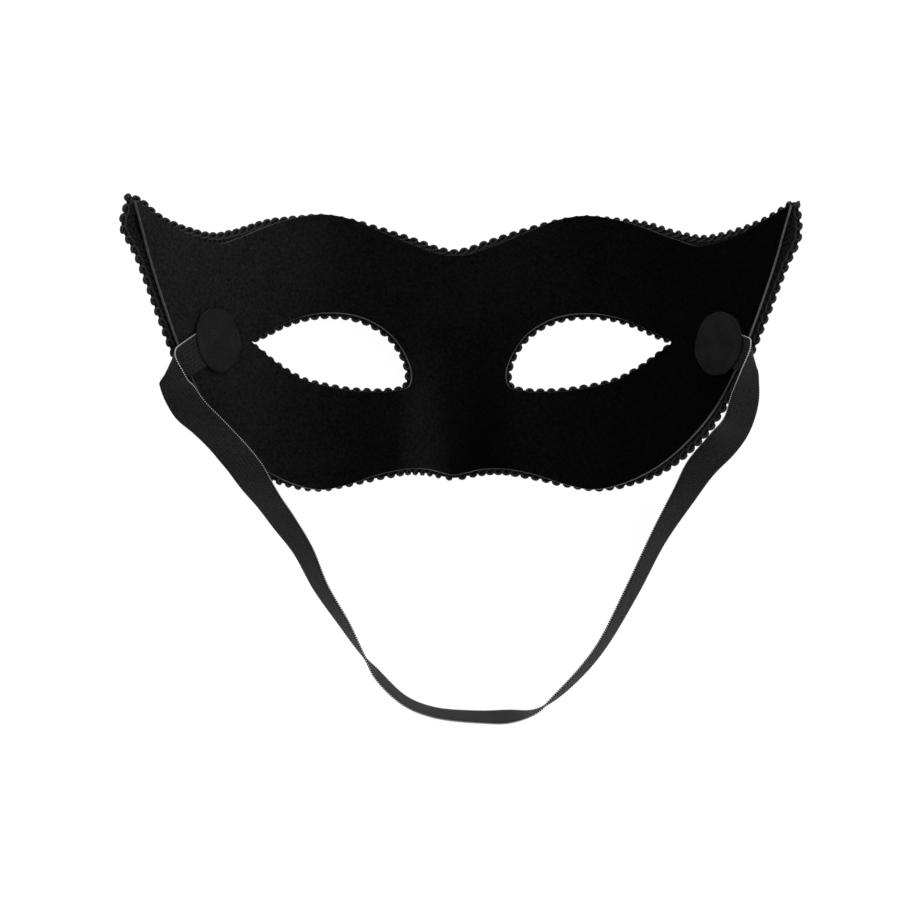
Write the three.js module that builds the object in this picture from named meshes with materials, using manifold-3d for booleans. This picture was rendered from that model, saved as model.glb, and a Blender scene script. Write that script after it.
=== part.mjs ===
import * as THREE from "three";
import { mergeVertices } from "three/addons/utils/BufferGeometryUtils.js";
import Module from "manifold-3d";

const wasm = await Module();
wasm.setup();

// A party eye mask lying face down on a table, with its hollow up.
// X runs across the face, Y from the nose to the brows and Z up from the table.
// All lengths are millimetres.

// Shell
const halfWidth = 94.7; // midline to a tip, straight across
const halfHeight = 43; // the cheeks and the brows reach about this far from the middle
const shellWall = 1.2;

// Moulded form of the face
const wingTilt = THREE.MathUtils.degToRad(48.2);
const wingStart = 48; // the wings fold back this far from the midline
const foldLength = 11;
const faceLean = 12.3; // the cheeks lie this much further back than the brows
const noseDepth = 11.4;
const noseHalfWidth = 18.5;
const noseTop = 22; // the ridge fades out this far above the middle
const browDepth = 2.6;
const browAcross = 30;
const browUp = 34;
const browSpread = new THREE.Vector2(20, 16);

// Eye openings
const eyeAcross = 37.5;
const rightEyeShift = 2; // the right opening is cut this much further out
const eyeUp = -1.6;
const eyeHalfLength = 24.1;
const eyeHalfHeight = 11.9;

// Gimp braid, glued on the front along every edge
const braidThickness = 1;
const braidInset = 5.6; // its width on the shell
const edgeOverhang = 2.4; // its loops stand this far past the outer edge
const eyeOverhang = 1.6;
const loopPitch = 3.2;
const loopNotch = 0.9; // depth of the notch between two loops
const braidGap = 0.35;

// Elastic strap and the round patches over its ends
const strapWidth = 10;
const strapThickness = 0.8;
const strapTuck = 7; // length of the strap under a patch, past its centre line
const patchRadius = 9.4;
const patchTop = 0.6; // cloth left over the strap
const seatGap = 0.35;

const table = (columns, rows) =>
  rows.map((row) => Object.fromEntries(columns.map((name, i) => [name, row[i]])));

// Lower edge of the shell from the nose to a tip, as shares of the half width and half height.
// The overhang column is the share of the braid's overhang there.
const LOWER_EDGE = table(["across", "up", "overhang"], [
  [0, -0.898, 0.7],
  [0.042, -0.881, 0.7],
  [0.084, -0.858, 0.8],
  [0.148, -0.853, 0.8],
  [0.243, -0.891, 0.7],
  [0.348, -0.965, 0.3],
  [0.433, -0.998, 0.2],
  [0.528, -0.951, 0.5],
  [0.634, -0.821, 1],
  [0.729, -0.616, 1.2],
  [0.796, -0.405, 1],
  [0.855, -0.121, 1.1],
  [0.908, 0.209, 1.3],
  [0.955, 0.544, 1.7],
  [0.978, 0.74, 2.4],
  [1, 0.926, 1],
]);

// Upper edge from a tip to the midline, in the same shares.
const UPPER_EDGE = table(["across", "up", "overhang"], [
  [1, 0.926, 1],
  [0.929, 0.828, 0.9],
  [0.845, 0.728, 1.4],
  [0.758, 0.684, 1.6],
  [0.686, 0.744, 1.2],
  [0.591, 0.844, 0.9],
  [0.496, 0.916, 0.3],
  [0.417, 0.94, 0.2],
  [0.327, 0.909, 0.3],
  [0.232, 0.823, 0.8],
  [0.127, 0.726, 1.2],
  [0.053, 0.667, 1.2],
  [0, 0.653, 1.1],
]);

// Eye opening from its outer corner over the top, as shares of its half length and half height.
const EYE = table(["out", "up"], [
  [1, 0.235],
  [0.81, 0.454],
  [0.602, 0.689],
  [0.39, 0.87],
  [0.1, 0.99],
  [-0.249, 0.958],
  [-0.5, 0.79],
  [-0.74, 0.46],
  [-0.92, -0.04],
  [-1, -0.54],
  [-0.96, -0.87],
  [-0.76, -0.99],
  [-0.3, -0.985],
  [0.02, -0.89],
  [0.35, -0.72],
  [0.66, -0.35],
  [0.88, 0],
]);

// Each side's eye opening, its patch as shares of the half width and half height,
// and the way that the strap leaves the patch, turned down from straight out.
const SIDES = table(["name", "side", "eyeMiddle", "patchAcross", "patchUp", "turn"], [
  ["left", -1, eyeAcross, 0.764, 0.019, 30],
  ["right", 1, eyeAcross + rightEyeShift, 0.808, 0, 26],
]);

// Free course of the strap from the left patch to the right one.
// Lift is the height of its lowest edge above the table.
// The last three columns point across it, from the plain edge to the marked one.
const STRAP_COURSE = table(["x", "y", "lift", "acrossX", "acrossY", "acrossZ"], [
  [-81.1, -5.2, 46.6, -0.35, 0.87, 0.36],
  [-85.1, -7.8, 48.5, 0.2, 0.55, 0.81],
  [-83.9, -11.5, 48.5, 0.76, 0.26, 0.6],
  [-81.9, -15.2, 46.6, 0.82, 0.46, 0.35],
  [-79, -19.6, 44.6, 0.84, 0.48, 0.25],
  [-74.4, -23.9, 41, 0.76, 0.47, 0.42],
  [-69.5, -28.9, 37.2, 0.75, 0.47, 0.45],
  [-63.8, -35.7, 32.6, 0.93, 0.28, 0.2],
  [-60.2, -41.0, 26.4, 0.8, 0.35, 0.45],
  [-56.5, -46.2, 19.6, 0.71, 0.29, 0.64],
  [-52.0, -52.5, 12.7, 0.62, 0.34, 0.7],
  [-46.0, -61.4, 5.8, 0.55, 0.2, 0.81],
  [-40.6, -72.7, 1.2, 0.4, 0.16, 0.9],
  [-33.7, -83.5, 0.1, 0.28, 0.1, 0.95],
  [-27.9, -93.1, 0.1, 0.05, 0.02, 1],
  [-23.7, -99.0, 0.1, -0.1, -0.2, 0.97],
  [-15.2, -107.1, 0.1, -0.1, -0.2, 0.97],
  [-6.4, -110.7, 0.1, -0.06, -0.22, 0.97],
  [7.6, -112.2, 0.1, 0, -0.28, 0.96],
  [16.7, -112.1, 0.1, 0, -0.3, 0.95],
  [24.7, -110.6, 0.1, 0, 0, 1],
  [30.6, -106.4, 0.1, -0.15, 0.17, 0.97],
  [38.9, -98.4, 0.1, -0.27, 0.2, 0.94],
  [45.3, -90.2, 0.1, -0.33, 0.2, 0.92],
  [54.4, -73.8, 0.2, -0.47, 0.22, 0.85],
  [62.2, -57.9, 1.8, -0.54, 0.27, 0.79],
  [69.4, -44.6, 8.2, -0.72, 0.36, 0.6],
  [73.4, -36.7, 15.4, -0.83, 0.42, 0.35],
  [78.6, -29.4, 25.8, -0.87, 0.45, 0.15],
  [81.3, -22.9, 38.3, -0.88, 0.27, 0.38],
  [82.3, -16.6, 44.3, -0.86, 0.26, 0.42],
  [83.2, -10.1, 47.1, -0.65, 0.34, 0.68],
  [84.2, -4.9, 48.8, -0.16, 0.58, 0.8],
]);

// Steps of the work itself
const slopeStep = 0.05;
const weld = 1e-4; // points nearer than this are one
const planPoints = { eye: 400, edge: 600 };
const discSides = 40;

const softplus = (value) => Math.log1p(Math.exp(value));

// Height of the middle of the wall, on a level that the whole mask is lifted from later.
function moulded(x, y) {
  const out = Math.abs(x);
  const fold = softplus((out - wingStart) / foldLength) - softplus(-wingStart / foldLength);
  const wing = Math.tan(wingTilt) * foldLength * fold;
  const lean = (faceLean * (halfHeight - y)) / (2 * halfHeight);
  const ridge = Math.cos((Math.min(out / noseHalfWidth, 1) * Math.PI) / 2) ** 2;
  const nose = noseDepth * ridge * THREE.MathUtils.smoothstep(-y, -noseTop, halfHeight);
  const fromBrow = Math.hypot((out - browAcross) / browSpread.x, (y - browUp) / browSpread.y);
  return wing + lean - nose - browDepth * Math.exp(-(fromBrow ** 2));
}

// Direction square to the face, on the side that the wearer's skin touches.
function skinward(x, y) {
  const slopeX = (moulded(x + slopeStep, y) - moulded(x - slopeStep, y)) / (2 * slopeStep);
  const slopeY = (moulded(x, y + slopeStep) - moulded(x, y - slopeStep)) / (2 * slopeStep);
  return new THREE.Vector3(-slopeX, -slopeY, 1).normalize();
}

// A point that stands off the middle of the wall, towards the skin where off is positive.
function onFace(x, y, off = 0) {
  return new THREE.Vector3(x, y, moulded(x, y)).addScaledVector(skinward(x, y), off);
}

// Plan of an edge, with the share of the braid's overhang as its third number.
function edgeCurve(rows) {
  const right = rows.map(
    (row) => new THREE.Vector3(row.across * halfWidth, row.up * halfHeight, row.overhang),
  );
  const startsAtMidline = rows[0].across === 0;
  const left = right
    .filter((point) => point.x > 0)
    .map((point) => new THREE.Vector3(-point.x, point.y, point.z))
    .reverse();
  return new THREE.CatmullRomCurve3(
    startsAtMidline ? [...left, ...right] : [...right, ...left],
    false,
    "centripetal",
  );
}

const lowerEdge = edgeCurve(LOWER_EDGE);
const upperEdge = edgeCurve(UPPER_EDGE);

// Plan points of an eye opening, anticlockwise where side is 1 and clockwise where it is -1.
function eyePlan(middle, side = 1) {
  const points = EYE.map(
    ({ out, up }) =>
      new THREE.Vector3(side * (middle + out * eyeHalfLength), eyeUp + up * eyeHalfHeight, 1),
  );
  const curve = new THREE.CatmullRomCurve3(points, true, "centripetal");
  return curve.getSpacedPoints(planPoints.eye).slice(0, -1);
}

// One closed surface from triangles of points, with those left out that have no area.
function surface(triangles) {
  const positions = [];
  for (const corners of triangles) {
    const [a, b, c] = corners;
    const apart = Math.min(a.distanceTo(b), b.distanceTo(c), c.distanceTo(a)) > weld;
    if (apart) corners.forEach((corner) => positions.push(corner.x, corner.y, corner.z));
  }
  const geometry = new THREE.BufferGeometry();
  geometry.setAttribute("position", new THREE.Float32BufferAttribute(positions, 3));
  const merged = mergeVertices(geometry, weld);
  merged.computeVertexNormals();
  return merged;
}

const quad = (a, b, c, d) => [
  [a, b, c],
  [a, c, d],
];

// A body from a row of sections with as many corners each, closed on itself or capped.
function loft(sections, closed) {
  const triangles = [];
  const last = closed ? sections.length : sections.length - 1;
  for (let i = 0; i < last; i++) {
    const here = sections[i];
    const next = sections[(i + 1) % sections.length];
    here.forEach((corner, j) => {
      const k = (j + 1) % here.length;
      triangles.push(...quad(corner, here[k], next[k], next[j]));
    });
  }
  if (!closed) {
    const [a, b, c, d] = sections[0];
    const [e, f, g, h] = sections[sections.length - 1];
    triangles.push(...quad(d, c, b, a), ...quad(e, f, g, h));
  }
  return surface(triangles);
}

// Shell: each half is a ring of cells between the eye opening and the outline
const SHELL_CELLS = { lower: 30, upper: 22, midline: 9, rings: 6 };
const NOSE_CROWDING = 1.35; // the lower edge's points lie closer together at the nose

function halfOutline() {
  const points = [];
  for (let i = 0; i < SHELL_CELLS.lower; i++) {
    points.push(lowerEdge.getPointAt(0.5 + 0.5 * (i / SHELL_CELLS.lower) ** NOSE_CROWDING));
  }
  for (let i = 0; i < SHELL_CELLS.upper; i++) {
    points.push(upperEdge.getPointAt((0.5 * i) / SHELL_CELLS.upper));
  }
  const [top, bottom] = [upperEdge.getPointAt(0.5), lowerEdge.getPointAt(0.5)];
  for (let i = 0; i < SHELL_CELLS.midline; i++) {
    points.push(top.clone().lerp(bottom, i / SHELL_CELLS.midline));
  }
  return points;
}

// Where the ray from the centre towards a point meets a closed plan curve around it.
function meets(curvePoints, centre, toward) {
  const ray = toward.clone().sub(centre);
  const cross = (a, b) => a.x * b.y - a.y * b.x;
  for (let i = 0; i < curvePoints.length; i++) {
    const start = curvePoints[i].clone().sub(centre);
    const end = curvePoints[(i + 1) % curvePoints.length].clone().sub(centre);
    const before = cross(ray, start);
    const after = cross(ray, end);
    if (before <= 0 && after > 0) {
      return start.lerp(end, before / (before - after)).add(centre);
    }
  }
  throw new Error("the eye opening doesn't surround its centre");
}

function shellGeometry() {
  const { lower, upper, rings } = SHELL_CELLS;
  const outline = halfOutline();
  const triangles = [];
  for (const { side, eyeMiddle } of SIDES) {
    const centre = new THREE.Vector3(eyeMiddle, eyeUp, 0);
    const eye = eyePlan(eyeMiddle);
    const spokes = outline.map((outer) => ({ inner: meets(eye, centre, outer), outer }));
    const point = (i, j, off) => {
      const { inner, outer } = spokes[i % spokes.length];
      const place = inner.clone().lerp(outer, j / rings);
      return onFace(side * place.x, place.y, off);
    };
    const face = (a, b, c, d) => triangles.push(...(side > 0 ? quad(b, c, d, a) : quad(d, c, b, a)));
    const [skin, front] = [shellWall / 2, -shellWall / 2];
    for (let i = 0; i < spokes.length; i++) {
      for (let j = 0; j < rings; j++) {
        face(point(i, j, skin), point(i, j + 1, skin), point(i + 1, j + 1, skin), point(i + 1, j, skin));
        face(
          point(i + 1, j, front),
          point(i + 1, j + 1, front),
          point(i, j + 1, front),
          point(i, j, front),
        );
      }
      face(point(i, 0, skin), point(i + 1, 0, skin), point(i + 1, 0, front), point(i, 0, front));
      if (i < lower + upper) {
        face(
          point(i, rings, front),
          point(i + 1, rings, front),
          point(i + 1, rings, skin),
          point(i, rings, skin),
        );
      }
    }
  }
  return surface(triangles);
}

// Braid: a band along an edge, three steps to a loop, with a notch at the first
const STEPS_PER_LOOP = 3;
const mitreReach = 3 * braidInset;

// Plan points at even distances along the moulded face, for whole loops of braid.
function evenly(plan) {
  const along = [0];
  for (let i = 1; i <= plan.length; i++) {
    const [a, b] = [plan[i - 1], plan[i % plan.length]];
    along.push(along[i - 1] + onFace(a.x, a.y).distanceTo(onFace(b.x, b.y)));
  }
  const total = along[plan.length];
  const count = Math.round(total / loopPitch) * STEPS_PER_LOOP;
  const points = [];
  let i = 0;
  for (let k = 0; k < count; k++) {
    const want = (k * total) / count;
    while (along[i + 1] < want) i++;
    const share = (want - along[i]) / (along[i + 1] - along[i]);
    points.push(plan[i].clone().lerp(plan[(i + 1) % plan.length], share));
  }
  return points;
}

// Rail points that have run past a corner's mitre line are drawn together into the mitre.
function mitred(rail, plan, { corner, inward }) {
  const sideOfMitre = (point) => inward.x * (point.y - corner.y) - inward.y * (point.x - corner.x);
  const crossed = rail.map((point, i) => {
    const near = Math.hypot(point.x - corner.x, point.y - corner.y) < mitreReach;
    return near && sideOfMitre(point) * sideOfMitre(plan[i]) <= 0;
  });
  const first = crossed.indexOf(true);
  const last = crossed.lastIndexOf(true);
  if (first < 1) return rail;
  const mitre = rail[first - 1].clone().lerp(rail[(last + 1) % rail.length], 0.5);
  return rail.map((point, i) => (crossed[i] ? mitre : point));
}

function braidGeometry(plan, overhang, side, corners = []) {
  const points = evenly(plan);
  const at = (i) => points[(i + points.length) % points.length];
  // The plan is moved sideways along the face, so that the band bends with it.
  const shifted = (i, distance) => {
    const [before, after] = [at(i - 1), at(i + 1)];
    const along = onFace(after.x, after.y).sub(onFace(before.x, before.y));
    const out = along.cross(skinward(at(i).x, at(i).y)).normalize();
    return at(i).clone().addScaledVector(out, side * distance).setZ(0);
  };
  const notch = (i) => (i % STEPS_PER_LOOP ? 0 : loopNotch);
  const outer = points.map((point, i) => shifted(i, overhang * point.z - notch(i)));
  const inner = corners.reduce(
    (rail, corner) => mitred(rail, points, corner),
    points.map((_, i) => shifted(i, -braidInset)),
  );
  const [back, front] = [-shellWall / 2 - braidGap, -shellWall / 2 - braidGap - braidThickness];
  return loft(
    points.map((_, i) => {
      const [far, near] = [outer[i], inner[i]];
      const section = [
        onFace(far.x, far.y, back),
        onFace(near.x, near.y, back),
        onFace(near.x, near.y, front),
        onFace(far.x, far.y, front),
      ];
      return side > 0 ? section.reverse() : section;
    }),
    true,
  );
}

// The strap's ends and patches sit on the skin side of the wings.
function seatOf({ side, patchAcross, patchUp, turn }) {
  const [x, y] = [side * patchAcross * halfWidth, patchUp * halfHeight];
  const normal = skinward(x, y);
  const out = new THREE.Vector3(side, 0, 0).projectOnPlane(normal).normalize();
  const leaving = out.clone().applyAxisAngle(normal, -side * THREE.MathUtils.degToRad(turn));
  return { origin: onFace(x, y, shellWall / 2), normal, leaving };
}

const patchThickness = strapThickness + seatGap + patchTop;

function patchMesh(row, material) {
  const { origin, normal, leaving } = seatOf(row);
  const soften = patchTop / 2;
  const profile = [
    [0, 0],
    [patchRadius, 0],
    [patchRadius, patchThickness - soften],
    [patchRadius - soften, patchThickness],
    [0, patchThickness],
  ].map(([x, y]) => new THREE.Vector2(x, y));
  const disc = new THREE.LatheGeometry(profile, discSides).rotateX(Math.PI / 2);
  // The groove over the strap starts a gap before the strap's end and runs out of the rim.
  const grooveStart = -strapTuck - seatGap;
  const groove = new THREE.BoxGeometry(
    2 * patchRadius,
    strapWidth + 2 * seatGap,
    2 * (patchThickness - patchTop),
  ).translate(grooveStart + patchRadius, 0, 0);
  const mesh = new THREE.Mesh(cut(disc, groove), material);
  const across = normal.clone().cross(leaving);
  mesh.quaternion.setFromRotationMatrix(new THREE.Matrix4().makeBasis(leaving, across, normal));
  mesh.position.copy(origin).addScaledVector(normal, seatGap);
  mesh.name = row.name + "_patch";
  return mesh;
}

function solid(geometry) {
  const bare = new THREE.BufferGeometry();
  bare.setAttribute("position", geometry.getAttribute("position"));
  bare.setIndex(geometry.getIndex());
  const merged = mergeVertices(bare, weld);
  return new wasm.Manifold(
    new wasm.Mesh({
      numProp: 3,
      vertProperties: new Float32Array(merged.getAttribute("position").array),
      triVerts: new Uint32Array(merged.getIndex().array),
    }),
  );
}

function cut(body, tool) {
  const left = solid(body).subtract(solid(tool)).getMesh();
  const geometry = new THREE.BufferGeometry();
  geometry.setAttribute("position", new THREE.BufferAttribute(left.vertProperties, 3));
  geometry.setIndex(new THREE.BufferAttribute(left.triVerts, 1));
  geometry.computeVertexNormals();
  return geometry;
}

// Strap: a flat band that twists along its course, with two steps from each place to the next
const STEPS_PER_PLACE = 2;

// The strap's places under and just past a patch, from the inside out.
function tucked(row) {
  const { origin, normal, leaving } = seatOf(row);
  const across = normal.clone().cross(leaving).multiplyScalar(row.side);
  const places = table(["distance", "rise"], [
    [-strapTuck, 0],
    [0, 0],
    [patchRadius - 3, 0],
    [patchRadius + 0.2, 0.25],
  ]);
  return places.map(({ distance, rise }) => ({
    centre: origin
      .clone()
      .addScaledVector(leaving, distance)
      .addScaledVector(normal, seatGap + strapThickness / 2 + rise),
    across,
  }));
}

function strapGeometry(tableLevel) {
  const free = STRAP_COURSE.map((row) => {
    const across = new THREE.Vector3(row.acrossX, row.acrossY, row.acrossZ).normalize();
    const flat = Math.hypot(across.x, across.y);
    const half = (strapWidth * Math.abs(across.z) + strapThickness * flat) / 2;
    return { centre: new THREE.Vector3(row.x, row.y, tableLevel + row.lift + half), across };
  });
  const [start, end] = SIDES.map(tucked);
  const course = [...start, ...free, ...end.reverse()];
  const centres = new THREE.CatmullRomCurve3(course.map((place) => place.centre));
  const acrosses = new THREE.CatmullRomCurve3(course.map((place) => place.across));
  const sections = [];
  const steps = STEPS_PER_PLACE * (course.length - 1);
  for (let i = 0; i <= steps; i++) {
    const share = i / steps;
    const centre = centres.getPoint(share);
    const along = centres.getTangent(share);
    const across = acrosses.getPoint(share).setLength(strapWidth / 2);
    const through = along.clone().cross(across).setLength(strapThickness / 2);
    sections.push([
      centre.clone().add(across).add(through),
      centre.clone().sub(across).add(through),
      centre.clone().sub(across).sub(through),
      centre.clone().add(across).sub(through),
    ]);
  }
  return loft(sections, false);
}

// Assembly
const TIP_MITRE = new THREE.Vector2(-0.62, -0.78); // way in from the right tip's corner
const cloth = (color, roughness) => new THREE.MeshStandardMaterial({ color, roughness, metalness: 0 });
const flock = cloth(0x111112, 0.95);
const gimp = cloth(0x0d0d0e, 0.6);
const feltPatch = cloth(0x1c1c1e, 0.9);
const elastic = cloth(0x262628, 0.8);

function named(name, geometry, material) {
  const mesh = new THREE.Mesh(geometry, material);
  mesh.name = name;
  return mesh;
}

const outlinePlan = [
  ...lowerEdge.getSpacedPoints(planPoints.edge).slice(0, -1),
  ...upperEdge.getSpacedPoints(planPoints.edge).slice(0, -1),
];
const tips = [1, -1].map((side) => ({
  corner: new THREE.Vector2(side * halfWidth, LOWER_EDGE.at(-1).up * halfHeight),
  inward: new THREE.Vector2(side * TIP_MITRE.x, TIP_MITRE.y),
}));

const mask = new THREE.Group();
mask.add(named("mask_shell", shellGeometry(), flock));
mask.add(named("edge_braid", braidGeometry(outlinePlan, edgeOverhang, 1, tips), gimp));
for (const { name, side, eyeMiddle } of SIDES) {
  const plan = eyePlan(eyeMiddle, side);
  if (side < 0) plan.reverse();
  mask.add(named(name + "_eye_braid", braidGeometry(plan, eyeOverhang, -1), gimp));
}
for (const row of SIDES) mask.add(patchMesh(row, feltPatch));

// The mask rests on the table at its lowest point, and the origin lies under its middle.
mask.updateMatrixWorld(true);
const extent = new THREE.Box3().setFromObject(mask, true);
mask.add(named("elastic_strap", strapGeometry(extent.min.z), elastic));
const middle = extent.getCenter(new THREE.Vector3());
mask.position.set(-middle.x, -middle.y, -extent.min.z);

const partyEyeMask = new THREE.Group();
partyEyeMask.add(mask);

export default partyEyeMask;
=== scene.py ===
"""Looks of a party eye mask that lies face down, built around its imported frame."""

import math

import bmesh
import bpy
import numpy as np
from mathutils import Matrix, Vector


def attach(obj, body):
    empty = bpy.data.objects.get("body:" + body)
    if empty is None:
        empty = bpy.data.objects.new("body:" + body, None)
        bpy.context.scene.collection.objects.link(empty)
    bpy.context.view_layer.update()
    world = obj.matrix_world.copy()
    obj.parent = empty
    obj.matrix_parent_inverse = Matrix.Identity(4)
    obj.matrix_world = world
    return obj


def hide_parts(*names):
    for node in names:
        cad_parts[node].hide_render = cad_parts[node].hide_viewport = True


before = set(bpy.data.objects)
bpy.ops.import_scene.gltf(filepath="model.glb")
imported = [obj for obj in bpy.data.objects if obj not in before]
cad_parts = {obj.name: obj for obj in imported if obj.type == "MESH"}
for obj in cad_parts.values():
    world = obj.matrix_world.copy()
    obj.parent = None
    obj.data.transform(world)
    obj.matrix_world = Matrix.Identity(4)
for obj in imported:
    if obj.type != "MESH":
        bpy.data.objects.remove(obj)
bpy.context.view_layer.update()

# View and light. The mask lies on a white table under a camera that looks almost straight down
# into its hollow, a few degrees from the left. Soft lamps stand to the right and past the
# brows, and the table is bright enough to lose its shadows.
MM = 0.001
CAMERA_TARGET = (0.56, -32.9, 22.3)
CAMERA_DISTANCE = 900
CAMERA_LEAN = math.radians(3.7)
CAMERA_LENS = 118
TABLE_REACH = 6000
TABLE_DROP = 0.4  # the braid's lowest loops reach a little below the frame's floor

toward_camera = Vector((-math.sin(CAMERA_LEAN), 0, math.cos(CAMERA_LEAN)))
up = Vector((0, 1, 0))
axes = Matrix((up.cross(toward_camera), up, toward_camera)).transposed().to_4x4()
camera_place = (Vector(CAMERA_TARGET) + CAMERA_DISTANCE * toward_camera) * MM
camera = bpy.data.objects.new("camera", bpy.data.cameras.new("camera"))
camera.data.sensor_width = 36
camera.data.lens = CAMERA_LENS
camera.matrix_world = Matrix.Translation(camera_place) @ axes
bpy.context.collection.objects.link(camera)
bpy.context.scene.camera = camera
bpy.context.scene.view_settings.view_transform = "Standard"


def soft_lamp(name, position, size, power):
    """A square lamp that faces the middle of the mask."""
    lamp = bpy.data.objects.new(name, bpy.data.lights.new(name, "AREA"))
    lamp.data.size = size
    lamp.data.energy = power
    lamp.location = position
    lamp.rotation_euler = Vector(position).to_track_quat("Z", "Y").to_euler()
    bpy.context.collection.objects.link(lamp)


soft_lamp("key_lamp", position=(1.0, 0.25, 0.85), size=0.7, power=3.2)
soft_lamp("top_lamp", position=(0.1, 0.9, 1.0), size=0.9, power=2.7)

world = bpy.data.worlds.new("studio")
world.use_nodes = True
world.node_tree.nodes["Background"].inputs["Color"].default_value = (1, 1, 1, 1)
world.node_tree.nodes["Background"].inputs["Strength"].default_value = 0.45
bpy.context.scene.world = world


def shown_mesh(name, points, faces, materials, kinds=None, smooth=True):
    """A mesh object from points in millimetres, with an index into its materials for each face."""
    mesh = bpy.data.meshes.new(name)
    mesh.from_pydata((np.asarray(points) * MM).tolist(), [], [list(face) for face in faces])
    for material in materials:
        mesh.materials.append(material)
    if kinds is not None:
        mesh.polygons.foreach_set("material_index", np.asarray(kinds, dtype=np.int32))
    mesh.polygons.foreach_set("use_smooth", np.full(len(mesh.polygons), smooth))
    mesh.update()
    piece = bpy.data.objects.new(name, mesh)
    bpy.context.collection.objects.link(piece)
    return piece


white_table = bpy.data.materials.new("white_table")
white_table.use_nodes = True
table_shader = white_table.node_tree.nodes["Principled BSDF"]
table_shader.inputs["Base Color"].default_value = (0.15, 0.15, 0.15, 1)
table_shader.inputs["Roughness"].default_value = 0.9
table_shader.inputs["Emission Color"].default_value = (1, 1, 1, 1)
table_shader.inputs["Emission Strength"].default_value = 0.95
table_corners = [
    (side * TABLE_REACH, end * TABLE_REACH, -TABLE_DROP)
    for side, end in ((-1, -1), (1, -1), (1, 1), (-1, 1))
]
table = shown_mesh("table", table_corners, [range(4)], [white_table], smooth=False)

# Elastic strap. A flat woven band of rubber and black yarn, with ribs across it and rolled
# edges. It leaves each patch upwards, folds over itself above the wing and comes down past
# the mask, below which it lies on the table on its edge.
STRAP_WIDTH = 10
STRAP_THICKNESS = 0.8
RIB_PITCH = 0.73
RIB_HEIGHT = 0.08
RINGS_PER_RIB = 2
COLUMN_PITCH = 1.1
COURSE_STEPS = 16

# Middle of the strap, and the way across it to its marked edge
STRAP_COURSE = [
    (-67.1, 4.9, 32.9, -0.35, 0.91, 0.23),
    (-71.4, 2.0, 37.6, -0.35, 0.91, 0.23),
    (-75.3, -0.6, 42.0, -0.35, 0.91, 0.23),
    (-77.1, -1.9, 44.3, -0.35, 0.91, 0.23),
    (-80.1, -4.1, 48.8, -0.35, 0.87, 0.36),
    (-85.0, -6.7, 52.8, 0.39, 0.68, 0.62),
    (-83.9, -10.4, 51.8, 0.76, 0.26, 0.60),
    (-81.9, -14.1, 48.7, 0.82, 0.46, 0.35),
    (-79.0, -18.5, 46.2, 0.84, 0.48, 0.25),
    (-74.4, -22.8, 43.5, 0.77, 0.48, 0.42),
    (-69.5, -27.8, 39.8, 0.76, 0.47, 0.45),
    (-63.8, -34.6, 34.0, 0.94, 0.28, 0.20),
    (-60.2, -39.9, 29.1, 0.81, 0.36, 0.46),
    (-56.5, -45.1, 23.1, 0.71, 0.29, 0.64),
    (-52.0, -51.4, 16.5, 0.62, 0.34, 0.70),
    (-46.0, -60.3, 10.1, 0.55, 0.20, 0.81),
    (-40.6, -71.6, 5.9, 0.40, 0.16, 0.90),
    (-33.7, -82.4, 5.0, 0.28, 0.10, 0.95),
    (-27.9, -92.0, 5.1, 0.05, 0.02, 1.00),
    (-23.7, -97.9, 5.1, -0.10, -0.20, 0.97),
    (-15.2, -106.0, 5.1, -0.10, -0.20, 0.97),
    (-6.4, -109.6, 5.1, -0.06, -0.22, 0.97),
    (7.6, -111.1, 5.0, 0.00, -0.28, 0.96),
    (16.7, -111.0, 5.0, 0.00, -0.30, 0.95),
    (24.7, -109.5, 5.1, 0.00, 0.00, 1.00),
    (30.6, -105.3, 5.1, -0.15, 0.17, 0.97),
    (38.9, -97.3, 4.9, -0.27, 0.20, 0.94),
    (45.3, -89.1, 4.9, -0.33, 0.20, 0.92),
    (54.4, -72.7, 4.7, -0.47, 0.22, 0.85),
    (62.2, -56.8, 6.0, -0.54, 0.27, 0.80),
    (69.4, -43.5, 11.5, -0.72, 0.36, 0.60),
    (73.4, -35.6, 17.5, -0.83, 0.42, 0.35),
    (78.6, -28.3, 26.9, -0.88, 0.45, 0.15),
    (81.3, -21.8, 40.6, -0.88, 0.27, 0.38),
    (82.3, -15.5, 46.8, -0.87, 0.26, 0.42),
    (83.2, -9.0, 50.8, -0.64, 0.36, 0.68),
    (83.7, -3.3, 53.0, -0.26, 0.62, 0.74),
    (81.4, -2.0, 48.9, 0.30, 0.93, 0.18),
    (79.6, -1.0, 46.5, 0.30, 0.93, 0.18),
    (75.5, 1.2, 42.0, 0.30, 0.93, 0.18),
    (71.2, 3.6, 37.1, 0.30, 0.93, 0.18),
]


def smooth_line(points, steps, closed=False):
    """A smooth curve through the points, with so many steps from each one to the next."""
    points = np.asarray(points, dtype=float)
    if closed:
        spans = np.vstack([points[-1:], points, points[:2]])
    else:
        first = 2 * points[0] - points[1]
        last = 2 * points[-1] - points[-2]
        spans = np.vstack([first, points, last])
    line = []
    for a, b, c, d in zip(spans, spans[1:], spans[2:], spans[3:]):
        gaps = [math.sqrt(np.linalg.norm(q - p)) for p, q in ((a, b), (b, c), (c, d))]
        ta, tb, tc, td = np.cumsum([0, *gaps])
        t = np.linspace(tb, tc, steps, endpoint=False)[:, None]
        ab = (a * (tb - t) + b * (t - ta)) / (tb - ta)
        bc = (b * (tc - t) + c * (t - tb)) / (tc - tb)
        cd = (c * (td - t) + d * (t - tc)) / (td - tc)
        abc = (ab * (tc - t) + bc * (t - ta)) / (tc - ta)
        bcd = (bc * (td - t) + cd * (t - tb)) / (td - tb)
        line.append((abc * (tc - t) + bcd * (t - tb)) / (tc - tb))
    if not closed:
        line.append(points[-1:])
    return np.vstack(line)


def unit(vectors):
    """The same directions at a length of 1."""
    return vectors / np.linalg.norm(vectors, axis=-1, keepdims=True)


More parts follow.
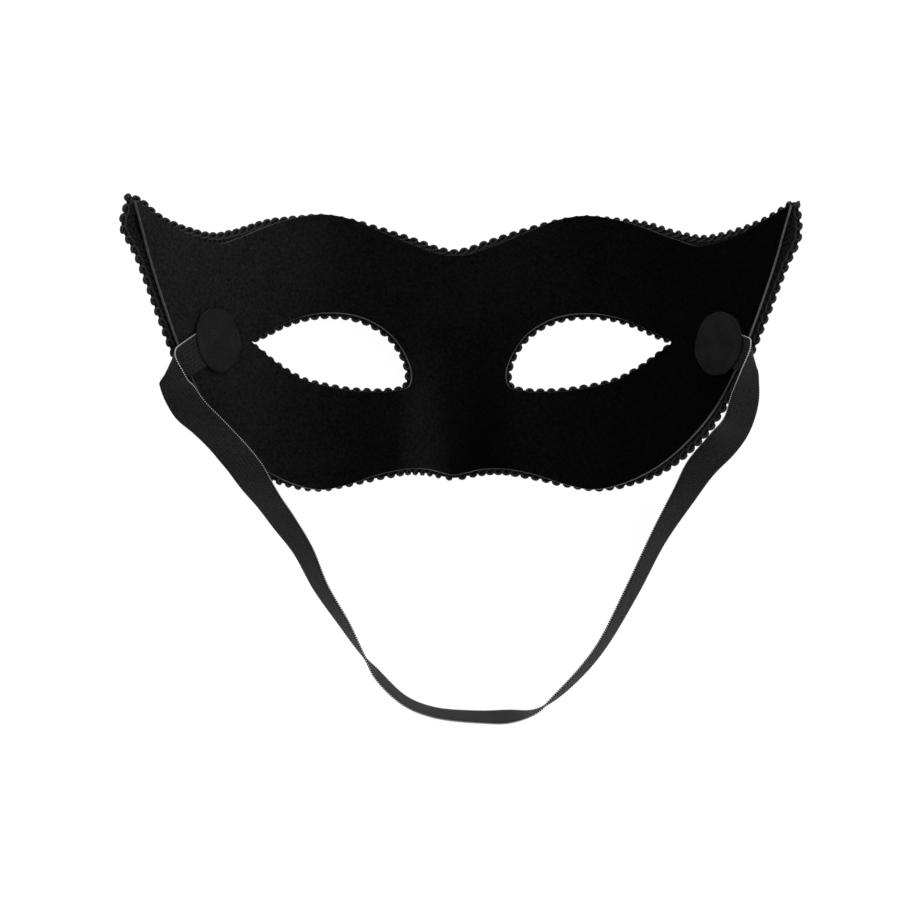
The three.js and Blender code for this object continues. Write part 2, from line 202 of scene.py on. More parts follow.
def travelled(points):
    """Distance along a line of points up to each of them."""
    return np.concatenate([[0], np.cumsum(np.linalg.norm(np.diff(points, axis=0), axis=1))])


def spread(line, distances, count, endpoint=True):
    """Rows at even distances along a line, from rows whose distances are known."""
    even = np.linspace(0, distances[-1], count, endpoint=endpoint)
    return np.column_stack([np.interp(even, distances, column) for column in line.T])


strap_line = smooth_line(STRAP_COURSE, COURSE_STEPS)
strap_reach = travelled(strap_line[:, :3])
rib_count = round(strap_reach[-1] / RIB_PITCH)
strap_rings = spread(strap_line, strap_reach, rib_count * RINGS_PER_RIB + 1)
strap_middle = strap_rings[:, :3]
strap_along = unit(np.gradient(strap_middle, axis=0))
strap_across = unit(strap_rings[:, 3:])
strap_through = unit(np.cross(strap_along, strap_across))


def lofted(rings, closed):
    """Faces over rings of points, which go round, and along to the next ring."""
    count, sides = rings.shape[:2]
    ring = np.arange(count if closed else count - 1)[:, None]
    corner = np.arange(sides)[None, :]
    following = (ring + 1) % count
    beside = (corner + 1) % sides
    faces = [ring * sides + corner, ring * sides + beside, following * sides + beside]
    faces.append(following * sides + corner)
    return np.stack(faces, axis=-1).reshape(-1, 4)


class Value:
    """An output of a node. Sums on it add Math nodes to its tree."""

    def __init__(self, recipe, socket):
        self.recipe = recipe
        self.socket = socket

    def out(self, name):
        """Another output of the same node."""
        return Value(self.recipe, self.socket.node.outputs[name])

    def math(self, operation, *terms):
        return self.recipe.add("ShaderNodeMath", {"operation": operation}, dict(enumerate(terms)))

    def __add__(self, other):
        return self.math("ADD", self, other)

    def __radd__(self, other):
        return self.math("ADD", other, self)

    def __sub__(self, other):
        return self.math("SUBTRACT", self, other)

    def __rsub__(self, other):
        return self.math("SUBTRACT", other, self)

    def __mul__(self, other):
        return self.math("MULTIPLY", self, other)

    def __rmul__(self, other):
        return self.math("MULTIPLY", other, self)

    def sin(self):
        return self.math("SINE", self)

    def cos(self):
        return self.math("COSINE", self)

    def phase(self, pitch):
        """The angle of a wave that repeats after each pitch, which is in millimetres."""
        return self * (2 * math.pi / (pitch * MM))

    def clamped(self):
        return self.recipe.add("ShaderNodeClamp", {}, {"Value": self})


class Recipe:
    """Adds nodes to one tree of a material or of a shape."""

    def __init__(self, tree):
        self.tree = tree

    def add(self, kind, settings=None, values=None, output=0):
        """A node of a kind, with its settings, and a value or a Value for each named input."""
        node = self.tree.nodes.new(kind)
        for name, setting in (settings or {}).items():
            setattr(node, name, setting)
        for name, value in (values or {}).items():
            if isinstance(value, Value):
                self.tree.links.new(value.socket, node.inputs[name])
            else:
                node.inputs[name].default_value = value
        return Value(self, node.outputs[output]) if node.outputs else node

    def place(self):
        """Where on its object a point lies."""
        return self.add("ShaderNodeTexCoord").out("Object")

    def carried(self, label, kind="FLOAT"):
        """A number or a direction that each point of a path carries."""
        return self.add("GeometryNodeInputNamedAttribute", {"data_type": kind}, {"Name": label})

    def noise(self, vector, scale, detail=2, roughness=0.5):
        return self.add(
            "ShaderNodeTexNoise",
            {},
            {"Vector": vector, "Scale": scale, "Detail": detail, "Roughness": roughness},
        )

    def shade(self, share, dark, light):
        """A colour that goes from the dark one to the light one with the share."""
        return self.add(
            "ShaderNodeMix",
            {"data_type": "RGBA"},
            {"Factor": share, 6: (*dark, 1), 7: (*light, 1)},
            output=2,
        )


def cloth_material(name, finish, **constants):
    """A Principled material. Its finish(recipe) gives colour, roughness, relief and depth."""
    material = bpy.data.materials.new(name)
    material.use_nodes = True
    recipe = Recipe(material.node_tree)
    shader = material.node_tree.nodes["Principled BSDF"]
    for socket, value in constants.items():
        shader.inputs[socket.replace("_", " ")].default_value = value
    colour, roughness, relief, depth = finish(recipe)
    links = material.node_tree.links
    bump = recipe.add("ShaderNodeBump", {}, {"Height": relief, "Distance": depth})
    for socket, value in (("Base Color", colour), ("Roughness", roughness), ("Normal", bump)):
        links.new(value.socket, shader.inputs[socket])
    return material


def elastic_finish(recipe):
    """Ribs across the band, crossed by the columns of yarn that bind them."""
    flat = recipe.add("ShaderNodeUVMap")
    place = recipe.add("ShaderNodeSeparateXYZ", {}, {0: flat})
    rib = place.out("X").phase(RIB_PITCH).sin()
    column = place.out("Y").phase(COLUMN_PITCH).sin()
    binding = 0.5 + 0.5 * rib * column
    grain = recipe.noise(flat, 900, 5, 0.75)
    wear = recipe.noise(flat, 60, 2)
    tone = (1.2 * binding + 2.4 * grain + 0.3 * wear - 1.5).clamped()
    colour = recipe.shade(tone, (0.001, 0.001, 0.0012), (0.027, 0.027, 0.028))
    relief = 0.6 * binding + 0.4 * grain
    return colour, 0.5 + 0.3 * grain, relief, 0.0003


elastic = cloth_material("black_elastic", elastic_finish, Specular_IOR_Level=0.15)
half_width = STRAP_WIDTH / 2

# Upper side of the band's section, in shares of its half width and half thickness, up to its
# middle. The ribs lie between its rolled edges.
SECTION = [(-1, 0.3), (-0.97, 0.9), (-0.8, 1), (-0.54, 1), (-0.27, 1), (0, 1)]
SECTION += [(-v, w) for v, w in SECTION[-2::-1]]
share, rise = np.array(SECTION).T
rib = RIB_HEIGHT * np.cos(np.pi * np.arange(len(strap_middle)))[:, None]
side_of_section = rise * (STRAP_THICKNESS / 2 - RIB_HEIGHT) + rib * (rise > 0.5)
upper_side = (
    strap_middle[:, None]
    + share[None, :, None] * half_width * strap_across[:, None]
    + side_of_section[..., None] * strap_through[:, None]
)
lower_side = (
    strap_middle[:, None]
    + share[None, ::-1, None] * half_width * strap_across[:, None]
    - side_of_section[:, ::-1, None] * strap_through[:, None]
)
strap_points = np.concatenate([upper_side, lower_side], axis=1)
sides = strap_points.shape[1]
strap_faces = [face[::-1] for face in lofted(strap_points, closed=False)]
strap_faces.append(range(sides))
strap_faces.append([len(strap_points) * sides - 1 - corner for corner in range(sides)])
strap = shown_mesh("elastic_band", strap_points.reshape(-1, 3), strap_faces, [elastic])


def flat_map(piece, coordinates):
    """Gives the piece a UV map from the two coordinates of each vertex, in millimetres."""
    corners = np.empty(len(piece.data.loops), dtype=np.int32)
    piece.data.loops.foreach_get("vertex_index", corners)
    layer = piece.data.uv_layers.new(name="flat")
    layer.data.foreach_set("uv", (np.asarray(coordinates)[corners] * MM).ravel())


strap_length = travelled(strap_middle)
around = np.concatenate([share, share[::-1]]) * half_width
flat_map(
    strap,
    np.stack(np.broadcast_arrays(strap_length[:, None], around[None, :]), axis=-1).reshape(-1, 2),
)

# Marked edge of the strap. A light yarn is woven over and under the ribs along one edge, so
# that it shows as a row of dots, which run together where the band is stretched.
DOT_WIDTH = 0.44
DOT_LENGTH = 0.4
DOT_SIDES = 8
FIRM_LENGTH = 0.72
FIRM_UP_TO, FIRM_FADE = 38, 8  # from either end of the strap
THREAD_INSET = 0.05


def shape_tree(name, inputs):
    """An empty shape tree with named inputs, its recipe and the node that holds them."""
    tree = bpy.data.node_groups.new(name, "GeometryNodeTree")
    tree.interface.new_socket("Geometry", in_out="INPUT", socket_type="NodeSocketGeometry")
    for label, kind in inputs.items():
        tree.interface.new_socket(label, in_out="INPUT", socket_type="NodeSocket" + kind)
    tree.interface.new_socket("Geometry", in_out="OUTPUT", socket_type="NodeSocketGeometry")
    recipe = Recipe(tree)
    return recipe, recipe.add("NodeGroupInput")


def ended(recipe, shape, material):
    """Makes the instances real, gives them the material, and ends the tree."""
    real = recipe.add("GeometryNodeRealizeInstances", {}, {"Geometry": shape})
    clad = recipe.add("GeometryNodeSetMaterial", {}, {"Geometry": real, "Material": material})
    shaded = recipe.add("GeometryNodeSetShadeSmooth", {}, {"Geometry": clad})
    recipe.add("NodeGroupOutput", {}, {"Geometry": shaded})


def grown(name, points, attributes, edges, recipe, values):
    """The plain mesh that a shape tree makes along a path of points, in millimetres."""
    path = bpy.data.meshes.new(name + "_path")
    path.from_pydata((np.asarray(points) * MM).tolist(), edges, [])
    for label, data in attributes.items():
        kind = "FLOAT_VECTOR" if data.ndim == 2 else "FLOAT"
        layer = path.attributes.new(label, kind, "POINT")
        layer.data.foreach_set("vector" if data.ndim == 2 else "value", data.ravel())
    carrier = bpy.data.objects.new(name + "_path", path)
    bpy.context.collection.objects.link(carrier)
    growth = carrier.modifiers.new("growth", "NODES")
    growth.node_group = recipe.tree
    for item in recipe.tree.interface.items_tree:
        if item.in_out == "INPUT" and item.name in values:
            growth[item.identifier] = values[item.name]
    graph = bpy.context.evaluated_depsgraph_get()
    mesh = bpy.data.meshes.new_from_object(carrier.evaluated_get(graph), depsgraph=graph)
    mesh.name = name
    bpy.data.objects.remove(carrier)
    piece = bpy.data.objects.new(name, mesh)
    bpy.context.collection.objects.link(piece)
    return piece


def yarn_finish(recipe):
    """Spun yarn with darker and lighter fibres."""
    fibre = recipe.noise(recipe.place(), 6000, 2)
    colour = recipe.shade(fibre, (0.32, 0.32, 0.325), (0.75, 0.75, 0.76))
    return colour, 0.6 + 0.3 * fibre, fibre, 0.00005


dots, given = shape_tree(
    "woven_dots",
    {"Dot Width": "Float", "Sides": "Int", "Material": "Material"},
)
bead = dots.add(
    "GeometryNodeMeshUVSphere",
    {},
    {"Segments": given.out("Sides"), "Rings": 5, "Radius": given.out("Dot Width") * 0.5},
)
facing = dots.add(
    "FunctionNodeAlignRotationToVector",
    {"axis": "Z"},
    {"Vector": dots.carried("along", "FLOAT_VECTOR")},
)
stretched = dots.add(
    "ShaderNodeCombineXYZ", {}, {"X": 1.0, "Y": 1.0, "Z": dots.carried("stretch")}
)
row = dots.add("GeometryNodeMeshToPoints", {}, {"Mesh": given.out("Geometry")})
placed = dots.add(
    "GeometryNodeInstanceOnPoints",
    {},
    {"Points": row, "Instance": bead, "Rotation": facing, "Scale": stretched},
)
ended(dots, placed, given.out("Material"))

marked_edge = strap_middle + strap_across * (half_width - THREAD_INSET)
marked_reach = travelled(marked_edge)
dot_places = spread(marked_edge, marked_reach, round(marked_reach[-1] / RIB_PITCH))
dot_reach = travelled(dot_places)
from_end = np.minimum(dot_reach, dot_reach[-1] - dot_reach)
firm = np.clip((FIRM_UP_TO - from_end) / FIRM_FADE, 0, 1)
dot_stretch = (DOT_LENGTH + (FIRM_LENGTH - DOT_LENGTH) * firm) / DOT_WIDTH
thread = grown(
    "marked_thread",
    dot_places,
    {"along": unit(np.gradient(dot_places, axis=0)), "stretch": dot_stretch},
    [],
    dots,
    {
        "Dot Width": DOT_WIDTH * MM,
        "Sides": DOT_SIDES,
        "Material": cloth_material("light_yarn", yarn_finish),
    },
)
for piece in (strap, thread):
    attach(piece, "root")
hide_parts("elastic_strap")

# Shell. A stiff moulded wall, flocked black on the side that touches the skin and covered
# with plain black cloth in front. It is cut out after the moulding, so the paler core shows
# in its bare edges, round the outline and round the eye holes.
HALF_WIDTH = 94.7
HALF_HEIGHT = 43
WALL = 1.2
FRONT_YARN_PITCH = 0.55
MASK_PLACE = (0.003, 1.094, 2.313)  # of the plan's origin in the shared frame

# Wings that fold back past a line, over a length on either side of it
WING_TILT = math.radians(48.2)
WING_FOLD, FOLD_LENGTH = 48, 11

# Rise from the brows to the nose end, the nose's ridge below its top, and the brows' bulges
FACE_LEAN = 12.3
NOSE_DEPTH, NOSE_HALF_WIDTH, NOSE_TOP = 11.4, 18.5, 22
BROW_DEPTH, BROW_MIDDLE, BROW_SPREAD = 2.6, (30, 34), (20, 16)

# Edges as shares of the half width and half height, with a share of the braid's overhang
LOWER_EDGE = [
    (0, -0.898, 0.7),
    (0.042, -0.881, 0.7),
    (0.084, -0.858, 0.8),
    (0.148, -0.853, 0.8),
    (0.243, -0.891, 0.7),
    (0.348, -0.965, 0.3),
    (0.433, -0.998, 0.2),
    (0.528, -0.951, 0.5),
    (0.634, -0.821, 1),
    (0.729, -0.616, 1.2),
    (0.796, -0.405, 1),
    (0.855, -0.121, 1.1),
    (0.908, 0.209, 1.3),
    (0.955, 0.544, 1.7),
    (0.978, 0.74, 2.4),
    (1, 0.926, 1),
]
UPPER_EDGE = [
    (1, 0.926, 1),
    (0.929, 0.828, 0.9),
    (0.845, 0.728, 1.4),
    (0.758, 0.684, 1.6),
    (0.686, 0.744, 1.2),
    (0.591, 0.844, 0.9),
    (0.496, 0.916, 0.3),
    (0.417, 0.94, 0.2),
    (0.327, 0.909, 0.3),
    (0.232, 0.823, 0.8),
    (0.127, 0.726, 1.2),
    (0.053, 0.667, 1.2),
    (0, 0.653, 1.1),
]

# Eye hole from its outer corner over the top, as shares of its half length and half height
EYE_ACROSS = {-1: 37.5, 1: 39.5}
EYE_UP = -1.6
EYE_HALF_LENGTH, EYE_HALF_HEIGHT = 24.1, 11.9
EYE = [
    (1, 0.235),
    (0.81, 0.454),
    (0.602, 0.689),
    (0.39, 0.87),
    (0.1, 0.99),
    (-0.249, 0.958),
    (-0.5, 0.79),
    (-0.74, 0.46),
    (-0.92, -0.04),
    (-1, -0.54),
    (-0.96, -0.87),
    (-0.76, -0.99),
    (-0.3, -0.985),
    (0.02, -0.89),
    (0.35, -0.72),
    (0.66, -0.35),
    (0.88, 0),
]

# Steps from one row to the next, then cells of the shell along each part of half its outline
# and from the eye hole out to it
EDGE_STEPS, EYE_STEPS = 30, 24
LOWER_CELLS, UPPER_CELLS, MIDLINE_CELLS, RINGS = 110, 84, 40, 30
WELD = 0.01


def moulded(x, y):
    """Height of the middle of the wall: folded wings, leaning face, nose ridge and brows."""
    out = np.abs(x)
    past_fold = np.logaddexp(0, (out - WING_FOLD) / FOLD_LENGTH)
    at_midline = np.logaddexp(0, -WING_FOLD / FOLD_LENGTH)
    wing = math.tan(WING_TILT) * FOLD_LENGTH * (past_fold - at_midline)
    slope = FACE_LEAN * (HALF_HEIGHT - y) / (2 * HALF_HEIGHT)
    ridge = np.cos(np.minimum(out / NOSE_HALF_WIDTH, 1) * math.pi / 2) ** 2
    down = np.clip((NOSE_TOP - y) / (NOSE_TOP + HALF_HEIGHT), 0, 1)
    nose = NOSE_DEPTH * ridge * down**2 * (3 - 2 * down)
    aside = (out - BROW_MIDDLE[0]) / BROW_SPREAD[0]
    above = (y - BROW_MIDDLE[1]) / BROW_SPREAD[1]
    brow = BROW_DEPTH * np.exp(-(aside**2) - above**2)
    return wing + slope - nose - brow


def skinward(x, y):
    """Direction square to the wall, towards the wearer."""
    step = 0.05
    slope_x = (moulded(x + step, y) - moulded(x - step, y)) / (2 * step)
    slope_y = (moulded(x, y + step) - moulded(x, y - step)) / (2 * step)
    return unit(np.stack([-slope_x, -slope_y, np.ones_like(slope_x)], axis=-1))


def on_face(plan, off=0.0):
    """Points that stand off the middle of the wall, towards the wearer where off is positive."""
    x, y = plan[..., 0], plan[..., 1]
    middle = np.stack([x, y, moulded(x, y)], axis=-1)
    return middle + np.asarray(off)[..., None] * skinward(x, y) + np.array(MASK_PLACE)


def edge_plan(rows):
    """One edge in plan, from one side to the other, with its share of the overhang."""
    right = np.array(rows) * (HALF_WIDTH, HALF_HEIGHT, 1)
    left = right[right[:, 0] > 0][::-1] * (-1, 1, 1)
    whole = [left, right] if rows[0][0] == 0 else [right, left]
    return smooth_line(np.vstack(whole), EDGE_STEPS)


def eye_plan(side):
    """An eye hole in plan, with the braid's whole overhang, as it is on the right side."""
    shares = np.column_stack([EYE, np.ones(len(EYE))])
    rim = shares * (EYE_HALF_LENGTH, EYE_HALF_HEIGHT, 1) + (EYE_ACROSS[side], EYE_UP, 0)
    return smooth_line(rim, EYE_STEPS, closed=True)


def evenly(plan, count, closed):
    """Points of a plan at even distances along the face."""
    line = np.vstack([plan, plan[:1]]) if closed else plan
    return spread(line, travelled(on_face(line)), count, endpoint=not closed)


lower_edge = edge_plan(LOWER_EDGE)
upper_edge = edge_plan(UPPER_EDGE)


def half_outline():
    """Outline of the right half, from the nose over the tip to the midline and down it."""
    lower = evenly(lower_edge[len(lower_edge) // 2 :], LOWER_CELLS + 1, closed=False)
    upper = evenly(upper_edge[: len(upper_edge) // 2 + 1], UPPER_CELLS + 1, closed=False)
    down = np.linspace(upper[-1], lower[0], MIDLINE_CELLS + 1)
    return np.vstack([lower[:-1], upper[:-1], down[:-1]])[:, :2]


def rim_points(rim, centre, outer):
    """Where the rays from the centre to the outer points cross the rim around it."""
    angles = np.unwrap(np.arctan2(*(rim - centre).T[::-1]))
    wanted = np.arctan2(*(outer - centre).T[::-1])
    wanted = (wanted - angles[0]) % (2 * math.pi) + angles[0]
    order = np.append(angles, angles[0] + 2 * math.pi)
    loop = np.vstack([rim, rim[:1]])
    return np.column_stack([np.interp(wanted, order, column) for column in loop.T])


def flock_finish(recipe):
    """Short black fibres with grain, crushed patches and lint, under painted light and shade by
    slope: lighter on slopes that face right and towards the brows, darker on slopes that face
    left.
    """
    place = recipe.place()
    # Painted light and shade: the colour is scaled by a value per point that is lighter where the
    # wall faces right and towards the brows
    slope_light = recipe.add("ShaderNodeAttribute", {"attribute_name": "painted_slope_light"}).out("Fac")
    pile = (3.4 * recipe.noise(place, 1050, 5, 0.8) - 1.2).clamped()
    crushed = recipe.noise(place, 70, 4, 0.7)
    lint = ((recipe.noise(place, 1300, 1) - 0.72) * 12).clamped()
    tone = (slope_light * (0.05 + 1.1 * pile + 0.85 * crushed + 1.2 * lint)).clamped()
    colour = recipe.shade(tone, (0, 0, 0), (0.033, 0.033, 0.034))
    return colour, 0.85 + 0.15 * pile, 0.7 * pile + 0.3 * crushed, 0.00025


def core_finish(recipe):
    """Cut edge of the wall: pressed layers with a ragged lip."""
    ragged = recipe.noise(recipe.place(), 900, 3, 0.7)
    colour = recipe.shade(ragged, (0.025, 0.025, 0.027), (0.23, 0.23, 0.24))
    return colour, 0.6 + 0.3 * ragged, ragged, 0.0002


def front_finish(recipe):
    """Plain-woven cloth over the front."""
    place = recipe.place()
    plan = recipe.add("ShaderNodeSeparateXYZ", {}, {0: place})
    warp = plan.out("X").phase(FRONT_YARN_PITCH).sin()
    weft = plan.out("Y").phase(FRONT_YARN_PITCH).sin()
    weave = 0.5 + 0.5 * warp * weft
    grain = recipe.noise(place, 1500, 2)
    tone = (0.6 * weave + 0.5 * grain - 0.05).clamped()
    colour = recipe.shade(tone, (0.006, 0.006, 0.0065), (0.02, 0.02, 0.021))
    return colour, 0.45 + 0.35 * grain, weave, 0.00008


shell_materials = [
    cloth_material("black_flock", flock_finish, Specular_IOR_Level=0),
    cloth_material("shell_core", core_finish, Specular_IOR_Level=0.3),
    cloth_material("front_cloth", front_finish, Specular_IOR_Level=0.4),
]
LINING, CORE, FRONT = range(3)

# Across the wall, from the lining's rounded lip round the cut edge to the front: distance in
# from the edge and height off the middle of the wall, then the material between each two
LIP = [(0.2, 0.6), (0.05, 0.56), (0, 0.45), (0, 0), (0.02, -0.4), (0.2, -0.6)]
LIP_KINDS = [LINING, CORE, CORE, CORE, FRONT]

# Share of the flock's colour that is painted light and shade: level, painted light on slopes that
# face right, painted shade on slopes that face left, and its rise towards the brows for each
# millimetre
PAINTED_LIGHT_LEVEL, PAINTED_LIGHT_FACING_RIGHT, PAINTED_SHADE_FACING_LEFT, PAINTED_LIGHT_RISE = 0.175, 0.6, -0.15, 0.005


def half_shell(side, outline):
    """Rings of points and faces with their kinds, round the eye hole of one side."""
    centre = np.array([EYE_ACROSS[side], EYE_UP])
    rim = rim_points(eye_plan(side)[:, :2], centre, outline)
    plan = rim + (outline - rim) * np.linspace(0, 1, RINGS + 1)[:, None, None]
    spokes = len(outline)
    midline = np.arange(spokes) >= LOWER_CELLS + UPPER_CELLS
    from_eye = unit(plan[1] - plan[0])
    inward = -unit(plan[-1] - plan[-2])
    # The midline is no edge: its ends keep to it, and no lip is drawn in between them
    inward[outline[:, 0] == 0, 0] = 0
    inward[LOWER_CELLS + UPPER_CELLS + 1 :] = 0
    rings = [(plan[0] + from_eye * inset, off) for inset, off in LIP[::-1]]
    rings += [(plan[ring], WALL / 2) for ring in range(1, RINGS)]
    rings += [(plan[-1] + inward * inset, off) for inset, off in LIP]
    rings += [(plan[ring], -WALL / 2) for ring in range(RINGS - 1, 0, -1)]
    points = np.stack([on_face(ring * (side, 1), np.full(spokes, off)) for ring, off in rings])
    faces = lofted(points, closed=True).reshape(len(rings), spokes, 4)
    kinds = LIP_KINDS[::-1] + [LINING] * RINGS + LIP_KINDS + [FRONT] * RINGS
    kept = np.ones((len(rings), spokes), dtype=bool)
    edge_spans = slice(len(LIP_KINDS) + RINGS, 2 * len(LIP_KINDS) + RINGS)
    kept[edge_spans, midline] = False
    kinds = np.repeat(np.array(kinds)[:, None], spokes, axis=1)
    return points.reshape(-1, 3), faces[kept], kinds[kept]


outline_half = half_outline()
right_points, right_faces, right_kinds = half_shell(1, outline_half)
left_points, left_faces, left_kinds = half_shell(-1, outline_half)
shell = shown_mesh(
    "flocked_shell",
    np.vstack([right_points, left_points]),
    np.vstack([right_faces[:, ::-1], left_faces + len(right_points)]),
    shell_materials,
    np.concatenate([right_kinds, left_kinds]),
)

# The halves are joined along the midline
joined = bmesh.new()
joined.from_mesh(shell.data)
bmesh.ops.remove_doubles(joined, verts=joined.verts, dist=WELD * MM)
loose = [vertex for vertex in joined.verts if not vertex.link_faces]
bmesh.ops.delete(joined, geom=loose, context="VERTS")
bmesh.ops.recalc_face_normals(joined, faces=joined.faces)
joined.to_mesh(shell.data)
joined.free()

# Each point's painted light and shade follows the slope of the wall there: lighter where it faces
# right and towards the brows, darker where it faces left
wall_points = np.empty(3 * len(shell.data.vertices))
shell.data.vertices.foreach_get("co", wall_points)
wall_points = wall_points.reshape(-1, 3) / MM - MASK_PLACE
sideways = skinward(wall_points[:, 0], wall_points[:, 1])[:, 0]
slope_share = PAINTED_LIGHT_FACING_RIGHT * np.clip(sideways, 0, 1) ** 2 + PAINTED_SHADE_FACING_LEFT * np.clip(-sideways, 0, 1) ** 2
painted_slope_light = shell.data.attributes.new("painted_slope_light", "FLOAT", "POINT")
painted_slope_light.data.foreach_set("value", (PAINTED_LIGHT_LEVEL + slope_share) * (1 + PAINTED_LIGHT_RISE * wall_points[:, 1]))
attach(shell, "root")
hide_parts("mask_shell")

# Gimp braid. A looping cord, a plait and a second row of smaller loops are worked over a
# narrow tape. It is glued on the front along every edge, with its larger loops past the edge
# of the shell, so that they show from behind as a row of small rings.
LOOP_PITCH = 3.2
EDGE_OVERHANG = 2.4
EYE_OVERHANG = 1.6
CORD_RADIUS = 0.5
BRAID_DEPTH = 1.42  # the cords' middle lies this far in front of the middle of the shell
WINDING_PITCH = 0.42
CORD_SIDES = 6
UNEVENNESS = 0.35

# Cords: distance in from the tips of the loops, swing along, reach out and lift, how often it
# rises in each round, rounds to a loop, share of a round to start at, points to a loop, and
# how bright its thread is
CORDS = [
    (1.45, 1.65, 0.95, 0.3, 1, 1, 0, 16, 1),
    (4.3, 0.0, 1.3, 0.3, 2, 0.5, 0, 8, 0.05),
    (4.3, 0.0, 1.3, 0.3, 2, 0.5, 1 / 3, 8, 0.05),
    (4.3, 0.0, 1.3, 0.3, 2, 0.5, 2 / 3, 8, 0.05),
    (6.9, 1.5, -0.85, 0.25, 1, 1, 0.5, 12, 1),
]
TAPE = (0.95, 6.3)  # its sides, in from the tips of the loops
TAPE_THICKNESS = 0.3
LOOSE_DEPTH, GLUED_SHARE = 6, 2.1  # lines further in than this follow the overhang only so far
POINTS_PER_MM = 3
CLEAR_SHARE, CLEAR_SLACK = 0.9, 0.05  # of its distance that a moved point keeps from the edge


def moved(plan, distances, outward):
    """A closed plan moved sideways along the face, cut short where it would cross itself."""
    rim = on_face(plan)
    along = unit(np.roll(rim, -1, axis=0) - np.roll(rim, 1, axis=0))
    out = outward * unit(np.cross(along, skinward(plan[:, 0], plan[:, 1])))
    result = plan[:, :2] + out[:, :2] * distances[:, None]
    apart = on_face(result)[:, None] - rim[None, :]
    clear = np.linalg.norm(apart, axis=-1).min(axis=1)
    return result[clear > CLEAR_SHARE * np.abs(distances) - CLEAR_SLACK]


def rail(plan, overhang, inset, outward):
    """Line at a distance in from the tips of the loops, which stays on the shell if far in."""
    share = plan[:, 2] if inset < LOOSE_DEPTH else np.minimum(plan[:, 2], GLUED_SHARE)
    return moved(plan, overhang * share - inset, outward)


def girth(plan):
    """Length of a closed plan along the face."""
    return travelled(on_face(np.vstack([plan, plan[:1]])))[-1]


def braid_rails(plan, overhang, outward):
    """Paths of the cords and of the tape's two sides, along one edge."""
    plan = evenly(plan, POINTS_PER_MM * round(girth(plan)), closed=True)
    loops = 2 * round(girth(plan) / LOOP_PITCH / 2)  # the plait closes after an even number
    paths, joins, base = [], [], 0
    for inset, swing, reach, lift, beat, rounds, start, per_loop, shine in CORDS:
        count = loops * per_loop
        line = evenly(rail(plan, overhang, inset, outward), count, closed=True)
        place = on_face(line, -BRAID_DEPTH)
        along = unit(np.roll(place, -1, axis=0) - np.roll(place, 1, axis=0))
        normal = skinward(line[:, 0], line[:, 1])
        path = {
            "place": place,
            "along": along,
            "out": outward * unit(np.cross(along, normal)),
            "normal": normal,
            "turn": 2 * math.pi * (np.arange(count) * rounds / per_loop + start),
        }
        sizes = {"swing": swing, "reach": reach, "lift": lift, "beat": beat, "shine": shine}
        path |= {label: np.full(count, float(size)) for label, size in sizes.items()}
        paths.append(path)
        joins += [(base + i, base + (i + 1) % count) for i in range(count)]
        base += count
    columns = {label: np.concatenate([path[label] for path in paths]) for label in paths[0]}
    tape = [evenly(rail(plan, overhang, inset, outward), 2 * loops, closed=True) for inset in TAPE]
    return columns, joins, tape


cords, given = shape_tree(
    "gimp_cords",
    {
        "Cord Radius": "Float",
        "Cord Sides": "Int",
        "Unevenness": "Float",
        "Seed": "Float",
        "Material": "Material",
    },
)


def scaled(direction, size):
    return cords.add("ShaderNodeVectorMath", {"operation": "SCALE"}, {0: direction, "Scale": size})


def summed(first, second):
    return cords.add("ShaderNodeVectorMath", {"operation": "ADD"}, {0: first, 1: second})


turn = cords.carried("turn")
uneven = cords.add(
    "ShaderNodeTexNoise", {"noise_dimensions": "4D"}, {"W": given.out("Seed"), "Scale": 260.0}
)
hand = 1 + given.out("Unevenness") * (uneven - 0.5)
reached = cords.carried("reach") * turn.cos() * hand * MM
swung = 0 - cords.carried("swing") * turn.sin() * MM
raised = (turn * cords.carried("beat")).sin() * cords.carried("lift") * hand * MM
outward_part = scaled(cords.carried("out", "FLOAT_VECTOR"), reached)
along_part = scaled(cords.carried("along", "FLOAT_VECTOR"), swung)
raised_part = scaled(cords.carried("normal", "FLOAT_VECTOR"), raised)
shaped = cords.add(
    "GeometryNodeSetPosition",
    {},
    {
        "Geometry": given.out("Geometry"),
        "Offset": summed(summed(outward_part, along_part), raised_part),
    },
)
run = cords.add("GeometryNodeMeshToCurve", {}, {"Mesh": shaped})
measured = cords.add(
    "GeometryNodeStoreNamedAttribute",
    {"data_type": "FLOAT", "domain": "POINT"},
    {
        "Geometry": run,
        "Name": "run",
        "Value": cords.add("GeometryNodeSplineParameter").out("Length"),
    },
)
profile = cords.add(
    "GeometryNodeCurvePrimitiveCircle",
    {},
    {"Resolution": given.out("Cord Sides"), "Radius": given.out("Cord Radius")},
)
tube = cords.add("GeometryNodeCurveToMesh", {}, {"Curve": measured, "Profile Curve": profile})
ended(cords, tube, given.out("Material"))


def gimp_finish(recipe):
    """Shiny thread wound round each cord, so that a slanting line follows it."""
    run = recipe.add("ShaderNodeAttribute", {"attribute_name": "run"}).out("Fac")
    winding = 0.5 + 0.5 * run.phase(WINDING_PITCH).sin()
    fibre = recipe.noise(recipe.place(), 2600, 3, 0.6)
    shine = recipe.add("ShaderNodeAttribute", {"attribute_name": "shine"}).out("Fac")
    tone = (shine * (0.5 * winding + 0.7 * fibre - 0.2)).clamped()
    colour = recipe.shade(tone, (0.002, 0.002, 0.0022), (0.026, 0.026, 0.027))
    return colour, 0.75 + 0.25 * fibre - 0.4 * shine, 0.7 * winding + 0.3 * fibre, 0.00006


def tape_finish(recipe):
    """Close-woven tape under the plait."""
    weave = recipe.noise(recipe.place(), 2200, 3, 0.7)
    colour = recipe.shade(weave, (0.002, 0.002, 0.0022), (0.01, 0.01, 0.0105))
    return colour, 0.6 + 0.3 * weave, weave, 0.00015


gimp = cloth_material("black_gimp", gimp_finish, Specular_IOR_Level=0.3)
tape_cloth = cloth_material("black_tape", tape_finish, Specular_IOR_Level=0.1)


